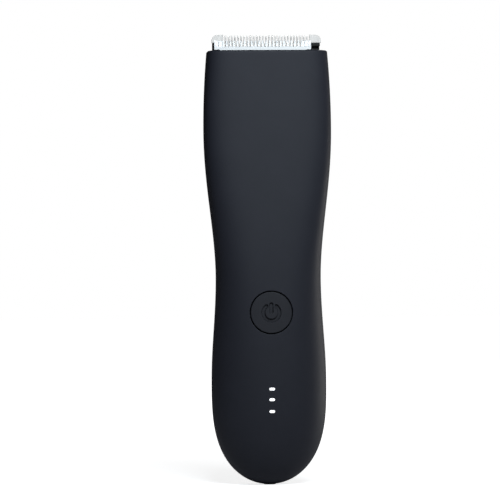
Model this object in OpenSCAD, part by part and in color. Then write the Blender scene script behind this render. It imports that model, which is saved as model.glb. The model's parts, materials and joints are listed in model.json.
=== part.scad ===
// Body groomer: a slim rechargeable trimmer with a pull-off blade head.
// Z runs along the body with the blades at the top, and the button faces along -Y.
// The origin is the middle of the mouth of the charging socket, in the rounded lower end.
// The cutter rests at the -X end of its stroke, with the drive pin on the same side.

/* [Body] */
// Height of the casing, from the lower end to its top edge
body_h = 154.6; // [154.2:0.1:155]
// Greatest width of the belly
belly_w = 41; // [40:0.2:43]
// Height at which the belly is widest
belly_z = 35.8; // [34:0.2:37]
// Least width, at the waist
waist_w = 37.4; // [37:0.2:39]
// Height of the waist
waist_z = 74.4; // [72:0.2:77]
// Greatest width of the shoulder, below the blades
shoulder_w = 45.4; // [44.6:0.2:48]
// Height at which the shoulder is widest
shoulder_z = 126.5; // [124:0.5:129]
// Width of the casing at its top edge
top_w = 42.8; // [42.4:0.2:44]
// Depth from the parting plane to the front or the rear of the belly
belly_d = 14; // [13.8:0.1:15]
// Depth from the parting plane to the front at the top edge
top_front_d = 9; // [9:0.1:10]
// Depth from the parting plane to the rear at the top edge
top_rear_d = 8; // [8:0.1:9]
// Thickness of the shells
wall = 1.8; // [1.6:0.1:1.9]

/* [Button and lights] */
// Diameter of the power button
button_d = 14.6; // [14:0.1:15]
// Height of the button's centre
button_z = 61.5; // [60:0.5:62]
// Width of the groove around the button
button_gap = 0.4; // [0.3:0.05:0.5]
// Travel of the button
button_travel = 0.5; // [0.3:0.05:0.6]
// Heights of the three charge lights
light_z = [26.5, 30.7, 34.45]; // [24:0.05:36]
// Width of a light window
window_w = 2.05; // [1.9:0.05:2.3]
// Height of a light window
window_h = 1.05; // [0.9:0.05:1.2]

/* [Blades] */
// Height of the tips of the comb's corner teeth
comb_z = 160.5; // [160:0.1:161]
// Width over the comb's corner teeth
comb_w = 39.2; // [38.6:0.1:39.2]
// Distance between neighbouring gaps of the comb
comb_pitch = 1.12; // [1.1:0.01:1.13]
// Number of gaps in the comb
comb_gaps = 28; // [26:2:28]
// Width of a gap of the comb
comb_gap = 0.52; // [0.45:0.01:0.6]
// Height of the tips of the cutter's teeth
cutter_z = 158.4; // [158:0.1:158.6]
// Width over the cutter's teeth
cutter_w = 34.7; // [34.2:0.1:34.8]
// Distance between neighbouring gaps of the cutter
cutter_pitch = 1.285; // [1.25:0.005:1.29]
// Number of gaps in the cutter
cutter_gaps = 26; // [24:2:26]
// Width of a gap of the cutter
cutter_gap = 0.62; // [0.5:0.01:0.7]
// Distance of the drive pin from the motor's axis, which is half the stroke
throw = 1.4; // [1.1:0.05:1.4]

/* [Drive] */
// Distance of the motor's axis from the parting plane, along Y
axis_y = -0.4; // [-0.5:0.05:-0.3]
// Radius of the motor's round sides
motor_r = 10.05; // [9.8:0.05:10.1]
// Thickness of the motor between its flat sides
motor_t = 15.1; // [14.8:0.1:15.2]
// Radius of the motor's shaft
shaft_r = 1; // [0.9:0.05:1]
// Radius of the drive pin
pin_r = 1; // [0.8:0.05:1]

/* [Power] */
// Radius of the battery cell
cell_r = 7; // [6.8:0.05:7]
// Length of the battery cell
cell_l = 50; // [49:0.5:50]
// Radius of the charging socket's bore
inlet_r = 1.3; // [1.2:0.05:1.35]
// Depth of the charging socket's bore
inlet_l = 11; // [10:0.5:11]

/* [Hidden] */

// Roundness of small round shapes
$fn = 48;
// Smallest overlap used to make a cut run through a face
eps = 0.01;
// Play between neighbouring pieces that don't move
play = 0.05;

// Casing sweep: points around a section, rings over the lower end and rings above it
ring_points = 56;
end_rings = 12;
side_rings = 26;
// Exponent of the lower end's outline, where 2 is an ellipse
end_power = 2.9;
// Exponents of the cross-section: an ellipse is 2, and a rounded box is higher
belly_section = 2.25;
top_section = 4.6;
// Radius of the rounding along the casing's top edge
rim_r = 0.6;
// Half the gap between the shells, which the seal fills
seam = 0.2;
// Inset of the seal below the outer surface, and its width
seal_inset = 0.45;
seal_w = 0.9;

// Top of the space between the shells, where the bulkhead closes it
cavity_top = 131;
// Socket for the blade head: half width, front and rear faces, and corner radius
socket_x = 19.1;
socket_front = -6.4;
socket_rear = 5.5;
socket_corner = 2.5;
// Pockets for the leaf springs in the sides of that socket: ends, half width and depth
pocket_z = [137.8, 150.2];
pocket_y = 2;
pocket_depth = 0.8;
// Radius of the hole for the charging socket and its ring
port_r = 3.4;

// Board: half width, rear face, thickness, and its lower and upper ends
board_x = 10.5;
board_rear = -4.2;
board_t = 1.2;
board_front = board_rear - board_t;
board_z0 = 20;
board_z1 = 74;

// Battery: its axis and its lower end
cell_y = 3.2;
cell_z = 20;

// Motor: top of its end cap, top of its can, and height of the bearing's boss
motor_z0 = 90;
motor_z1 = 115;
boss_h = 1.5;
boss_r = 3;
// Chassis plate above the motor
plate_z = motor_z1 + boss_h;
plate_t = 2;
// Distance of the motor's screws from its axis
motor_screw_x = 6.5;

// Chassis screws: distance from the middle, heights, and the plane where the tabs meet the posts
post_x = 14.6;
post_z = [28, 81];
tab_y = -1.5;
tab_t = 2;
screw_r = 0.8;
post_r = 2;
// Radius of a hole that a screw's thread passes freely
free_r = 1.1;
// Reach of a screw's tab past its hole
tab_reach = 1.9;

// Blade head: bottom of the housing, its top, its half width, front and rear
head_z0 = 133.85;
head_z1 = body_h - 0.15;
head_x = 18.9;
head_front = -6.2;
head_rear = 5.3;
// Plane where the cutter slides on the comb, and the play between them
blade_y = 0.8;
blade_play = 0.03;
comb_t = 1.1;
cutter_t = 1.5;
// Bottom of the gaps between the teeth
comb_root = 157.4;
cutter_root = 156.1;
// Top of the black corner blocks beside the comb
block_z = 157.6;
block_x = 16;
// Outer side of the blocks above the casing's top edge, and where that wider part starts
cap_x = 19.25;
cap_z0 = body_h + 0.15;
// Notch in the front of the corner blocks: inner and outer side, rear wall and top
notch_x = [15.9, 19.5];
notch_rear = 3;
notch_z1 = 156.5;
// Front of the plastic carrier behind which the cutter rides
carrier_front = -3.4;
// Drive slot in the carrier: it clears the pin all over its circle at both ends of the stroke
slot_x = 2 * throw + pin_r + 0.2;
slot_y = throw + pin_r + 0.2;
// Rest place of the cutter, at the -X end of its stroke
rest_x = -throw;

// ---- Shape of the casing ----

// Smooth step from 0 to 1 as t goes from 0 to 1
function ease(t) = 0.5 - 0.5 * cos(180 * t);

// Value between a at z0 and b at z1
function ramp(z, z0, z1, a, b) = a + (b - a) * ease((z - z0) / (z1 - z0));

// Shrinkage of the rounded lower end, from 1 at the belly to 0 at the tip
function end_curve(z, inset) = sqrt(max(0, 1 - pow((belly_z - z) / (belly_z - inset), end_power)));

// Rounding of the top edge
function rim(z) = z > body_h - rim_r ? rim_r - sqrt(max(0, rim_r * rim_r - pow(z - body_h + rim_r, 2))) : 0;

// Position along the flank from waist to shoulder, which rises a little early
function flank(z) = pow((z - waist_z) / (shoulder_z - waist_z), 0.92);

// Half width at height z, less an inset
function half_w(z, inset) =
    z < belly_z ? (belly_w / 2 - inset) * end_curve(z, inset) :
    z < waist_z ? ramp(z, belly_z, waist_z, belly_w, waist_w) / 2 - inset :
    z < shoulder_z ? (waist_w + (shoulder_w - waist_w) * ease(flank(z))) / 2 - inset :
    (shoulder_w - (shoulder_w - top_w) * pow((z - shoulder_z) / (body_h - shoulder_z), 2)) / 2 - inset;

// Depth at height z on the side whose top depth is given, less an inset
function depth(z, inset, top_d) =
    z < belly_z ? (belly_d - inset) * end_curve(z, inset) :
    ramp(z, belly_z, body_h, belly_d, top_d) - inset;

// Exponent of the section at height z
function section(z) = z < belly_z ? belly_section : ramp(z, belly_z, body_h, belly_section, top_section);

// Signed power
function spow(v, p) = sign(v) * pow(abs(v), p);

// One section as a list of points
function ring(z, inset) = [
    for (i = [0 : ring_points - 1])
        let (
            a = 360 * i / ring_points,
            p = 2 / section(z),
            shrink = inset + rim(z),
            d = depth(z, shrink, sin(a) < 0 ? top_front_d : top_rear_d)
        )
        [half_w(z, shrink) * spow(cos(a), p), d * spow(sin(a), p), z]
];

// Heights of the sections, from the lower end up to top
function heights(inset, top) = concat(
    [for (i = [1 : end_rings - 1]) belly_z - (belly_z - inset) * cos(90 * i / end_rings)],
    [for (i = [0 : side_rings]) belly_z + (top - belly_z) * i / side_rings]
);

// Solid swept through the sections: the casing's outside, or an inset copy that ends at top
module casing(inset, top, rim_heights = []) {
    levels = concat(heights(inset, top), rim_heights);
    count = len(levels);
    points = concat([[0, 0, inset]], [for (z = levels) each ring(z, inset)]);
    n = ring_points;
    tip = [for (i = [0 : n - 1]) [0, 1 + i, 1 + (i + 1) % n]];
    sides = [
        for (k = [0 : count - 2])
            for (i = [0 : n - 1])
                let (
                    a = 1 + k * n + i,
                    b = 1 + k * n + (i + 1) % n,
                    c = a + n,
                    d = b + n
                )
                each [[a, c, b], [b, c, d]]
    ];
    cap = [[for (i = [n - 1 : -1 : 0]) 1 + (count - 1) * n + i]];
    polyhedron(points, concat(tip, sides, cap), convexity = 4);
}

// Outside of the casing, with its rounded top edge
module outside(inset = 0) {
    casing(inset, body_h - rim_r, [for (a = [30, 60, 90]) body_h - rim_r + rim_r * sin(a)]);
}

// Cylinder along Y between two planes
module rod_y(r, y0, y1, x = 0, z = 0) {
    translate([x, y1, z])
        rotate([90, 0, 0])
            cylinder(h = y1 - y0, r = r);
}

// Box between two corners
module box(low, high) {
    translate(low)
        cube(high - low);
}

// Box with round corners in plan, of a half width, between two depths and two heights
module rounded_block(x, y0, y1, z0, z1, r) {
    box([-x + r, y0, z0], [x - r, y1, z1]);
    box([-x, y0 + r, z0], [x, y1 - r, z1]);
    for (sx = [-1, 1])
        for (y = [y0 + r, y1 - r])
            translate([sx * (x - r), y, z0])
                cylinder(h = z1 - z0, r = r);
}

// Point on a smooth curve through a path, u of the way from point i to point i + 1
function on_curve(path, i, u) =
    let (
        last = len(path) - 1,
        p0 = path[max(i - 1, 0)],
        p1 = path[i],
        p2 = path[min(i + 1, last)],
        p3 = path[min(i + 2, last)]
    )
    0.5 * (2 * p1 + (p2 - p0) * u + (2 * p0 - 5 * p1 + 4 * p2 - p3) * u * u
        + (3 * p1 - p0 - 3 * p2 + p3) * u * u * u);

// Smooth curve through a path, with a number of steps between its points
function curve(path, steps) = concat(
    [for (i = [0 : len(path) - 2]) for (k = [0 : steps - 1]) on_curve(path, i, k / steps)],
    [path[len(path) - 1]]
);

// Ring of points across a curve at its point i; across is a direction the curve never takes
function wire_ring(line, i, r, sides, across) =
    let (
        run = line[min(i + 1, len(line) - 1)] - line[max(i - 1, 0)],
        side = cross(run, across) / norm(cross(run, across)),
        up = cross(side, run) / norm(run)
    )
    [for (k = [0 : sides - 1]) line[i] + r * (cos(360 * k / sides) * side + sin(360 * k / sides) * up)];

// Round wire along a smooth curve through a path
module wire(path, r, across, steps = 5, sides = 8) {
    line = curve(path, steps);
    count = len(line);
    points = [for (i = [0 : count - 1]) each wire_ring(line, i, r, sides, across)];
    skin = [
        for (i = [0 : count - 2])
            for (k = [0 : sides - 1])
                let (
                    a = i * sides + k,
                    b = i * sides + (k + 1) % sides
                )
                each [[a, b, a + sides], [b, b + sides, a + sides]]
    ];
    first = [[for (k = [sides - 1 : -1 : 0]) k]];
    last = [[for (k = [0 : sides - 1]) (count - 1) * sides + k]];
    polyhedron(points, concat(first, skin, last), convexity = 6);
}

// Pill-shaped bar along Y, as a light window
module pill_y(w, h, y0, y1, z) {
    for (sx = [-1, 1])
        rod_y(h / 2, y0, y1, sx * (w - h) / 2, z);
    box([-(w - h) / 2, y0, z - h / 2], [(w - h) / 2, y1, z + h / 2]);
}

// ---- Casing ----

// Both shells in one: the wall, the head's socket, the port's hole and the clips' pockets
module shells() {
    difference() {
        outside();
        difference() {
            casing(wall, cavity_top);
            posts();
        }
        rounded_block(socket_x, socket_front, socket_rear, cavity_top - eps, body_h + 1, socket_corner);
        translate([0, 0, -1])
            cylinder(h = 5, r = port_r);
        for (sx = [-1, 1])
            mirror([sx < 0 ? 1 : 0, 0, 0])
                box([socket_x - eps, -pocket_y, pocket_z[0]],
                    [socket_x + pocket_depth, pocket_y, pocket_z[1]]);
    }
}

// Screw posts that stand on the inside of the front shell
module posts() {
    for (sx = [-1, 1])
        for (z = post_z)
            rod_y(post_r, -belly_d, tab_y, sx * post_x, z);
}

module front_shell() {
    color([0.17, 0.18, 0.20])
        difference() {
            intersection() {
                shells();
                box([-40, -40, -1], [40, -seam, body_h + 1]);
            }
            rod_y(button_d / 2 + button_gap, -belly_d - 1, -8, 0, button_z);
            for (z = light_z)
                pill_y(window_w, window_h, -belly_d - 1, -8, z);
            for (sx = [-1, 1])
                for (z = post_z)
                    rod_y(screw_r, tab_y - 5, tab_y + 1, sx * post_x, z);
        }
}

module rear_shell() {
    color([0.16, 0.17, 0.19])
        intersection() {
            shells();
            box([-40, seam, -1], [40, 40, body_h + 1]);
        }
}

// Outline of the casing on the parting plane, less an inset
function side_outline(inset) =
    let (levels = heights(inset, body_h - rim_r))
    concat(
        [for (z = levels) [half_w(z, inset), z]],
        [for (i = [len(levels) - 1 : -1 : 0]) [-half_w(levels[i], inset), levels[i]]],
        [[0, inset]]
    );

module shell_seal() {
    color([0.05, 0.05, 0.06])
        difference() {
            translate([0, seam, 0])
                rotate([90, 0, 0])
                    linear_extrude(height = 2 * seam)
                        difference() {
                            polygon(side_outline(seal_inset));
                            polygon(side_outline(seal_inset + seal_w));
                            translate([-socket_x, cavity_top - 2])
                                square([2 * socket_x, 40]);
                        }
            translate([0, 0, -1])
                cylinder(h = 6, r = port_r);
        }
}

// ---- Button and switch ----

// Button: front and rear of the flange behind it, rear of its stem, and the stem's radius
flange_front = -10.2;
flange_rear = -9.4;
stem_rear = -8.6;
stem_r = 1.8;
// Rubber skirt under the button: its front, outer radius, inner radius and the hole in its floor
skirt_front = -9.2;
skirt_r = 9.4;
skirt_inner_r = 8.7;
skirt_hole_r = 6.5;
skirt_floor = 0.8;

module power_button() {
    color([0.15, 0.155, 0.17]) {
        intersection() {
            rod_y(button_d / 2, -belly_d - 1, flange_front + eps, 0, button_z);
            outside(0.03);
        }
        rod_y(button_d / 2 + 1, flange_front, flange_rear, 0, button_z);
        rod_y(stem_r, flange_rear - eps, stem_rear, 0, button_z);
    }
}

module button_seal() {
    color([0.07, 0.07, 0.08])
        difference() {
            rod_y(skirt_r, skirt_front, board_front, 0, button_z);
            rod_y(skirt_inner_r, skirt_front - 1, board_front - skirt_floor, 0, button_z);
            rod_y(skirt_hole_r, skirt_front - 1, board_front + 1, 0, button_z);
        }
}

// Push switch: front, half width, plunger's rear face and radius
switch_front = -7.6;
switch_x = 3;
plunger_rear = -6.9;
plunger_r = 1.65;

module switch_body() {
    color([0.12, 0.12, 0.13])
        difference() {
            box([-switch_x, switch_front, button_z - switch_x], [switch_x, board_front, button_z + switch_x]);
            rod_y(plunger_r + 0.1, switch_front - 1, plunger_rear + button_travel + 0.2, 0, button_z);
        }
}

module switch_plunger() {
    color([0.75, 0.74, 0.70])
        rod_y(plunger_r, stem_rear, plunger_rear, 0, button_z);
}

// ---- Board and lights ----

// Board's two screws, and the size of the light-emitting diodes behind the windows
board_screw_x = 8.2;
board_screw_z = [22.5, 71.5];
led = [1.6, 0.7, 1];
// Bar that carries the light windows: front, rear, half width and its reach past the outer windows
bar_front = -11.6;
bar_rear = -10.6;
bar_x = 2.5;
bar_reach = 2;
// Radius of a light pipe behind the bar, and its clearance in front of the board
pipe_r = 0.6;
pipe_gap = 1;

module circuit_board() {
    color([0.05, 0.30, 0.16])
        difference() {
            box([-board_x, board_front, board_z0], [board_x, board_rear, board_z1]);
            for (z = board_screw_z)
                rod_y(screw_r + 0.1, board_front - 1, board_rear + 1, board_screw_x, z);
        }
}

module board_screws() {
    color("silver")
        for (z = board_screw_z) {
            rod_y(1.5, board_front - 0.9, board_front, board_screw_x, z);
            rod_y(screw_r, board_front - eps, board_rear + 3, board_screw_x, z);
        }
}

module status_leds() {
    color([0.95, 0.93, 0.80])
        for (z = light_z)
            box([-led[0] / 2, board_front - led[1], z - led[2] / 2],
                [led[0] / 2, board_front, z + led[2] / 2]);
}

module light_guide() {
    color([0.95, 0.96, 0.98]) {
        intersection() {
            union() {
                for (z = light_z)
                    pill_y(window_w, window_h, -belly_d - 1, bar_rear - 0.4, z);
            }
            outside(0.03);
        }
        box([-bar_x, bar_front, light_z[0] - bar_reach], [bar_x, bar_rear, light_z[2] + bar_reach]);
        for (z = light_z)
            rod_y(pipe_r, bar_rear - eps, board_front - pipe_gap, 0, z);
    }
}

// ---- Battery and chassis ----

// Raised pole at the cell's upper end, and the contacts at both ends: thickness and half width
pole_h = 1;
pole_r = 2.8;
contact_t = 0.5;
contact_x = 3;

module battery_cell() {
    color([0.20, 0.35, 0.62])
        translate([0, cell_y, cell_z]) {
            cylinder(h = cell_l - pole_h, r = cell_r);
            cylinder(h = cell_l, r = pole_r);
        }
}

module battery_contacts() {
    color([0.80, 0.80, 0.78])
        for (z = [cell_z - contact_t, cell_z + cell_l])
            box([-contact_x, cell_y - 3.2, z], [contact_x, cell_y + 2.8, z + contact_t]);
}

// Chassis: rails beside the cell, with their inner side, thickness, rear face and ends
rail_x = 7.25;
rail_t = 2;
rail_rear = 6;
rail_z0 = cell_z - 2.5;
rail_z1 = cell_z + cell_l + 4.5;
// Front of the end plates between the rails
end_front = -3;
// Legs beside the motor: inner side, thickness, half depth, and the step that joins them to the rails
leg_x = motor_r + 0.3;
leg_t = 2;
leg_y = 4;
step_z0 = rail_z1 - 1.5;
step_z1 = rail_z1 + 1;

// Tab from x outwards, for a chassis screw at height z
module screw_tab(x, z) {
    box([x, tab_y, z - 2.5], [post_x + tab_reach, tab_y + tab_t, z + 2.5]);
}

module chassis() {
    color([0.30, 0.31, 0.33])
        difference() {
            union() {
                for (sx = [-1, 1]) {
                    mirror([sx < 0 ? 1 : 0, 0, 0]) {
                        box([rail_x, board_rear, rail_z0], [rail_x + rail_t, rail_rear, rail_z1]);
                        box([rail_x, -leg_y, step_z0], [leg_x + leg_t, leg_y, step_z1]);
                        box([leg_x, -leg_y, step_z0], [leg_x + leg_t, leg_y, plate_z + plate_t]);
                        screw_tab(rail_x, post_z[0]);
                        screw_tab(leg_x, post_z[1]);
                    }
                }
                box([-rail_x - 1, end_front, rail_z0], [rail_x + 1, rail_rear, cell_z - contact_t]);
                box([-rail_x - 1, end_front, cell_z + cell_l + contact_t], [rail_x + 1, rail_rear, rail_z1]);
                box([-leg_x - leg_t, -leg_y, plate_z], [leg_x + leg_t, leg_y, plate_z + plate_t]);
            }
            translate([0, axis_y, plate_z - 1])
                cylinder(h = 4, r = boss_r + play);
            for (sx = [-1, 1]) {
                for (z = post_z)
                    rod_y(free_r, tab_y - 1, tab_y + tab_t + 1, sx * post_x, z);
                translate([sx * motor_screw_x, axis_y, plate_z - 1])
                    cylinder(h = 4, r = free_r);
            }
            for (z = board_screw_z)
                rod_y(screw_r, board_rear - 1, board_rear + 4, board_screw_x, z);
        }
}

module chassis_screws() {
    color("silver")
        for (sx = [-1, 1])
            for (z = post_z) {
                rod_y(1.7, tab_y + tab_t, tab_y + tab_t + 1.2, sx * post_x, z);
                rod_y(screw_r, tab_y - 4.5, tab_y + tab_t + eps, sx * post_x, z);
            }
}

// ---- Motor and drive ----

// Round can with two flat sides
module motor_section(r, t, z0, z1) {
    intersection() {
        translate([0, axis_y, z0])
            cylinder(h = z1 - z0, r = r);
        box([-r - 1, axis_y - t / 2, z0], [r + 1, axis_y + t / 2, z1]);
    }
}

// Shaft: its ends, and the running clearance round it
shaft_z0 = motor_z0 + 2;
shaft_z1 = 128;
running = 0.06;
// Plastic end cap below the can, its step in from the can's outside, and the terminals on it
end_cap_h = 3.5;
end_cap_step = 0.6;
terminal_x = 6;
terminal_h = 3.5;

module motor_can() {
    color([0.72, 0.73, 0.75])
        difference() {
            motor_section(motor_r, motor_t, motor_z0, motor_z1);
            translate([0, axis_y, shaft_z0 - 0.2])
                cylinder(h = 40, r = shaft_r + running);
            for (sx = [-1, 1])
                translate([sx * motor_screw_x, axis_y, motor_z1 - 2.5])
                    cylinder(h = 4, r = screw_r);
        }
}

module motor_end_cap() {
    color([0.90, 0.89, 0.85])
        motor_section(motor_r - end_cap_step, motor_t - 2 * end_cap_step, motor_z0 - end_cap_h, motor_z0);
}

module motor_terminals() {
    z1 = motor_z0 - end_cap_h;
    color([0.80, 0.62, 0.30])
        for (sx = [-1, 1])
            translate([sx * terminal_x, axis_y, 0])
                box([-1, -0.2, z1 - terminal_h], [1, 0.2, z1]);
}

module motor_bearing() {
    color([0.72, 0.52, 0.25])
        translate([0, axis_y, motor_z1])
            difference() {
                cylinder(h = boss_h + plate_t, r = boss_r);
                translate([0, 0, -1])
                    cylinder(h = 6, r = shaft_r + running);
            }
}

module motor_screws() {
    color("silver")
        for (sx = [-1, 1])
            translate([sx * motor_screw_x, axis_y, 0]) {
                translate([0, 0, plate_z + plate_t])
                    cylinder(h = 1.2, r = 1.8);
                translate([0, 0, motor_z1 - 2.2])
                    cylinder(h = plate_z + plate_t - motor_z1 + 2.2 + eps, r = screw_r);
            }
}

module motor_shaft() {
    color([0.80, 0.81, 0.83])
        translate([0, axis_y, shaft_z0])
            cylinder(h = shaft_z1 - shaft_z0, r = shaft_r);
}

// Hub on the shaft, and the top of its off-centre pin
hub_r = 3.4;
hub_z0 = 120.5;
hub_z1 = 135.2;
pin_z1 = 141.6;

module eccentric_drive() {
    color([0.92, 0.92, 0.90])
        difference() {
            union() {
                translate([0, axis_y, hub_z0])
                    cylinder(h = hub_z1 - hub_z0, r = hub_r);
                translate([rest_x, axis_y, hub_z1 - eps])
                    cylinder(h = pin_z1 - hub_z1, r = pin_r);
            }
            translate([0, axis_y, hub_z0 - 1])
                cylinder(h = shaft_z1 - hub_z0 + 1, r = shaft_r);
        }
}

// Lip seal round the hub, pressed into the bulkhead: radius, lower end and height
seal_r = 5;
seal_z = 130;
seal_h = 2.6;

module drive_seal() {
    color([0.10, 0.10, 0.11])
        translate([0, axis_y, seal_z])
            difference() {
                cylinder(h = seal_h, r = seal_r);
                translate([0, 0, -1])
                    cylinder(h = seal_h + 2, r = hub_r + running);
            }
}

// ---- Closing plate and head socket ----

bulkhead_top = 133;
// Gasket on the bulkhead: its step in from the head's outside, and its width
gasket_step = 0.5;
gasket_w = 1;

module bulkhead() {
    color([0.24, 0.25, 0.27])
        difference() {
            union() {
                // Plug that fills the head's socket, and a flange under it
                rounded_block(socket_x - play, socket_front + play, socket_rear - play,
                    cavity_top - 1, bulkhead_top, socket_corner - 0.1);
                rounded_block(socket_x + 0.7, socket_front + 0.4, socket_rear - 0.4,
                    cavity_top - 1.6, cavity_top - 0.1, socket_corner - 0.1);
            }
            translate([0, axis_y, cavity_top - 5])
                cylinder(h = 10, r = seal_r);
        }
}

module head_seal() {
    color([0.08, 0.08, 0.09])
        difference() {
            rounded_block(head_x - gasket_step, head_front + gasket_step, head_rear - gasket_step,
                bulkhead_top, head_z0 - play, 2.2);
            rounded_block(head_x - gasket_step - gasket_w, head_front + gasket_step + gasket_w,
                head_rear - gasket_step - gasket_w, bulkhead_top - 1, head_z0 + 1, 1.4);
        }
}

// Leaf springs: width, plane of their backs, and half the bowed inner side from its middle outwards
clip_w = 3.4;
clip_back = socket_x + pocket_depth - 0.02;
clip_touch = head_x + 0.06;
clip_bow = [[clip_touch, 0.6], [clip_touch + 0.24, 3], [clip_back - 0.3, 5.8]];

// Bowed leaf springs that grip the sides of the blade head
module head_clips() {
    middle = (pocket_z[0] + pocket_z[1]) / 2;
    reach = clip_bow[2][1];
    upper = [for (p = clip_bow) [p[0], middle + p[1]]];
    lower = [for (i = [2 : -1 : 0]) [clip_bow[i][0], middle - clip_bow[i][1]]];
    back = [[clip_back, middle + reach], [clip_back, middle - reach]];
    color([0.80, 0.81, 0.83])
        for (sx = [-1, 1])
            mirror([sx < 0 ? 1 : 0, 0, 0])
                translate([0, clip_w / 2, 0])
                    rotate([90, 0, 0])
                        linear_extrude(height = clip_w)
                            polygon(concat(upper, back, lower));
}

// ---- Blade head ----

// Space inside the housing: half width, front and rear below the comb, and its step
hollow_x = 17.2;
hollow_front = -5;
hollow_rear = 4.1;
hollow_z1 = 146;
// Rear face of the corner blocks, and their lower end inside the frame
block_rear = head_rear - 1.7;
block_z0 = 150;
// Screws of the comb: thread and head radius, and the depth of the heads' sinks
blade_screw_r = 1;
blade_head_r = 1.9;
blade_head_h = 1.3;

module head_housing() {
    color([0.07, 0.07, 0.08])
        difference() {
            union() {
                rounded_block(head_x, head_front, head_rear, head_z0, head_z1, 2.3);
                for (sx = [-1, 1])
                    mirror([sx < 0 ? 1 : 0, 0, 0]) {
                        box([block_x, blade_y + blade_play, block_z0], [head_x, block_rear, block_z]);
                        box([block_x, blade_y + blade_play, cap_z0], [cap_x, block_rear, block_z]);
                    }
            }
            // Lower space, round the carrier's drive block
            box([-hollow_x, hollow_front, head_z0 - 1], [hollow_x, hollow_rear, hollow_z1]);
            // Upper space, for the cutter, its carrier and the spring
            box([-hollow_x, hollow_front, hollow_z1 - 1], [hollow_x, blade_y, head_z1 + 1]);
            // Seat of the comb, and the clearance round its plate
            box([-block_x, blade_y - eps, hollow_z1 - 1], [block_x, blade_y + comb_t + 0.02, head_z1 + 4]);
            // Notch across the front of the corner blocks, just above the frame
            for (sx = [-1, 1])
                mirror([sx < 0 ? 1 : 0, 0, 0])
                    box([notch_x[0], blade_y, head_z1], [notch_x[1], notch_rear, notch_z1]);
            for (sx = [-1, 1]) {
                rod_y(blade_screw_r, blade_y, head_rear + 1, sx * blade_screw_x, blade_screw_z);
                rod_y(blade_head_r, head_rear - blade_head_h, head_rear + 1,
                    sx * blade_screw_x, blade_screw_z);
            }
        }
}

// Half width of a gap at the tips, as a part of its width
tip_flare = 0.65;

// Tapered gap between two teeth, drawn in X and Z
module tooth_gap(x, root, tip, w) {
    translate([x, root + w / 2])
        circle(d = w, $fn = 20);
    polygon([
        [x - w / 2, root + w / 2], [x - w / 2, tip - 1], [x - w * tip_flare, tip + 0.2],
        [x + w * tip_flare, tip + 0.2], [x + w / 2, tip - 1], [x + w / 2, root + w / 2]
    ]);
}

// Centres of a number of gaps with a pitch
function gap_centres(count, pitch) = [for (i = [0 : count - 1]) (i - (count - 1) / 2) * pitch];

// Lower edge of the comb's plate, and the place of its two screws
comb_z0 = 146.5;
blade_screw_x = 12;
blade_screw_z = 149.5;
// Corner teeth: inner edge, radius of the outer corner, width and height
corner_x = 14.8;
corner_r = 2.2;
corner_w = comb_w / 2 - corner_x;
corner_h = comb_z - block_z - play;
// Slope of the rear of the teeth, and the height where it starts
tip_slope = 8;
tip_z = 156.4;

// Outline of a wide corner tooth, which stands on top of its black block
module corner_tooth() {
    translate([corner_x, block_z + play])
        intersection() {
            square([corner_w, corner_h]);
            union() {
                square([corner_w - corner_r, corner_h]);
                square([corner_w, corner_h - corner_r]);
                translate([corner_w - corner_r, corner_h - corner_r])
                    circle(r = corner_r);
            }
        }
}

module comb_blade() {
    color([0.82, 0.82, 0.80])
        difference() {
            translate([0, blade_y + comb_t, 0])
                rotate([90, 0, 0])
                    linear_extrude(height = comb_t)
                        difference() {
                            union() {
                                translate([-block_x + play, comb_z0])
                                    square([2 * (block_x - play), comb_z - comb_z0 - 0.2]);
                                for (sx = [-1, 1])
                                    mirror([sx < 0 ? 1 : 0, 0])
                                        corner_tooth();
                            }
                            for (x = gap_centres(comb_gaps, comb_pitch))
                                tooth_gap(x, comb_root, comb_z, comb_gap);
                        }
            // The rear of the teeth slopes forward to thin tips
            translate([-comb_w, blade_y + comb_t, tip_z])
                rotate([tip_slope, 0, 0])
                    cube([2 * comb_w, 4, 10]);
            for (sx = [-1, 1])
                rod_y(blade_screw_r, blade_y - 1, blade_y + 4, sx * blade_screw_x, blade_screw_z);
        }
}

module blade_screws() {
    color("silver")
        for (sx = [-1, 1]) {
            rod_y(blade_head_r - 0.1, head_rear - blade_head_h + play, head_rear - 0.25,
                sx * blade_screw_x, blade_screw_z);
            rod_y(blade_screw_r - play, blade_y + play, head_rear - blade_head_h + 2 * play,
                sx * blade_screw_x, blade_screw_z);
        }
}

// Wire spring: radius, plane of its ends, and plane where it lies on the carrier
spring_r = 0.3;
spring_end_y = -4.6;
spring_y = carrier_front - spring_r - play;

// Wire spring that presses the carrier and the cutter against the comb
module tension_spring() {
    color([0.78, 0.79, 0.82])
        wire([
            [-16, spring_end_y, 139], [-15, spring_end_y, 150], [-9, spring_y, 151], [0, spring_y, 147.5],
            [9, spring_y, 151], [15, spring_end_y, 150], [16, spring_end_y, 139]
        ], spring_r, [0, 1, 0]);
}

// Depth of the blind gaps, the two nearest each end of the cutter
blind_gap = 0.9;
// Lower edge of the plate, of the wide row of teeth above it, and half the plate's width
cutter_z0 = 147.5;
cutter_bar_z = 155.15;
cutter_low_x = 15.4;
// Studs that carry the cutter: distance from the middle, height and the holes' radius
stud_x = 8;
stud_z = 150.5;
stud_hole_r = 1.2;

// Prism of the cutter's outline or of its gaps, from its rear face or from a depth inside it
module cutter_prism(thickness) {
    rotate([90, 0, 0])
        linear_extrude(height = thickness)
            children();
}

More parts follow.
